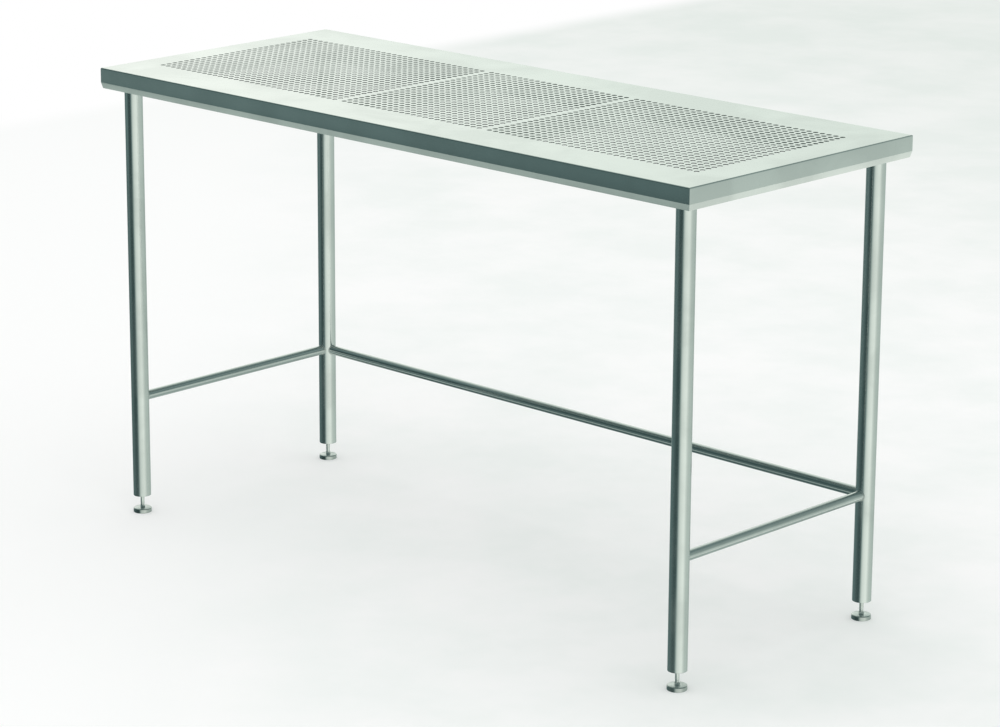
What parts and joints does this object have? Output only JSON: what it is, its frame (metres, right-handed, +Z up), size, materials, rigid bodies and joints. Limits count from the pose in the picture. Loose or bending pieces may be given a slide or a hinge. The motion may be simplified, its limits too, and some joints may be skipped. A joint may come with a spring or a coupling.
{
  "type": "cleanroom table",
  "caption": "Stainless cleanroom table with a perforated folded worktop on round tube legs, tied by rails at the back and ends, standing on screw levelling feet.",
  "frame": {"origin": "on the floor under the middle of the table", "axes": "+X along the length, to the right seen from the open front; +Y to the back; +Z up"},
  "size_m": [1.5, 0.6, 0.9],
  "materials": {
    "worktop_steel": "fine satin stainless sheet",
    "channel_steel": "plain stainless sheet",
    "tube_steel": "satin stainless tube",
    "fixing_steel": "plain stainless screws",
    "foot_steel": "turned and plated steel",
    "stud_steel": "threaded, plated steel"
  },
  "bodies": {
    "table": {"worktop": "worktop_steel", "front_channel": "channel_steel", "back_channel": "channel_steel", "left_channel": "channel_steel", "right_channel": "channel_steel", "left_cross_channel": "channel_steel", "right_cross_channel": "channel_steel", "back_rail": "tube_steel", "left_rail": "tube_steel", "right_rail": "tube_steel", "plate_nuts": "fixing_steel", "front_left_leg": "tube_steel", "front_left_leg_plate": "channel_steel", "front_right_leg": "tube_steel", "front_right_leg_plate": "channel_steel", "back_left_leg": "tube_steel", "back_left_leg_plate": "channel_steel", "back_right_leg": "tube_steel", "back_right_leg_plate": "channel_steel"},
    "front_left_foot": {"front_left_foot_disc": "foot_steel"},
    "front_left_stud": {"front_left_foot_stud": "stud_steel"},
    "front_right_foot": {"front_right_foot_disc": "foot_steel"},
    "front_right_stud": {"front_right_foot_stud": "stud_steel"},
    "back_left_foot": {"back_left_foot_disc": "foot_steel"},
    "back_left_stud": {"back_left_foot_stud": "stud_steel"},
    "back_right_foot": {"back_right_foot_disc": "foot_steel"},
    "back_right_stud": {"back_right_foot_stud": "stud_steel"}
  },
  "joints": [
    {"name": "front_left_foot_height", "type": "slide", "parent": "table", "child": "front_left_foot", "axis": [0, 0, -1], "range_m": [-0.02, 0.025]},
    {"name": "front_left_stud_turn", "type": "hinge", "parent": "front_left_foot", "child": "front_left_stud", "pos_m": [-0.7057, -0.2557, 0.0113], "axis": [0, 0, 1], "range_deg": [-7200, 5760]},
    {"name": "front_right_foot_height", "type": "slide", "parent": "table", "child": "front_right_foot", "axis": [0, 0, -1], "range_m": [-0.02, 0.025]},
    {"name": "front_right_stud_turn", "type": "hinge", "parent": "front_right_foot", "child": "front_right_stud", "pos_m": [0.7057, -0.2557, 0.0113], "axis": [0, 0, 1], "range_deg": [-7200, 5760]},
    {"name": "back_left_foot_height", "type": "slide", "parent": "table", "child": "back_left_foot", "axis": [0, 0, -1], "range_m": [-0.02, 0.025]},
    {"name": "back_left_stud_turn", "type": "hinge", "parent": "back_left_foot", "child": "back_left_stud", "pos_m": [-0.7057, 0.2557, 0.0113], "axis": [0, 0, 1], "range_deg": [-7200, 5760]},
    {"name": "back_right_foot_height", "type": "slide", "parent": "table", "child": "back_right_foot", "axis": [0, 0, -1], "range_m": [-0.02, 0.025]},
    {"name": "back_right_stud_turn", "type": "hinge", "parent": "back_right_foot", "child": "back_right_stud", "pos_m": [0.7057, 0.2557, 0.0113], "axis": [0, 0, 1], "range_deg": [-7200, 5760]}
  ],
  "couplings": [
    {"joint": "front_left_stud_turn", "follows": "front_left_foot_height", "rad_per_m": -5026.5},
    {"joint": "front_right_stud_turn", "follows": "front_right_foot_height", "rad_per_m": -5026.5},
    {"joint": "back_left_stud_turn", "follows": "back_left_foot_height", "rad_per_m": -5026.5},
    {"joint": "back_right_stud_turn", "follows": "back_right_foot_height", "rad_per_m": -5026.5}
  ]
}
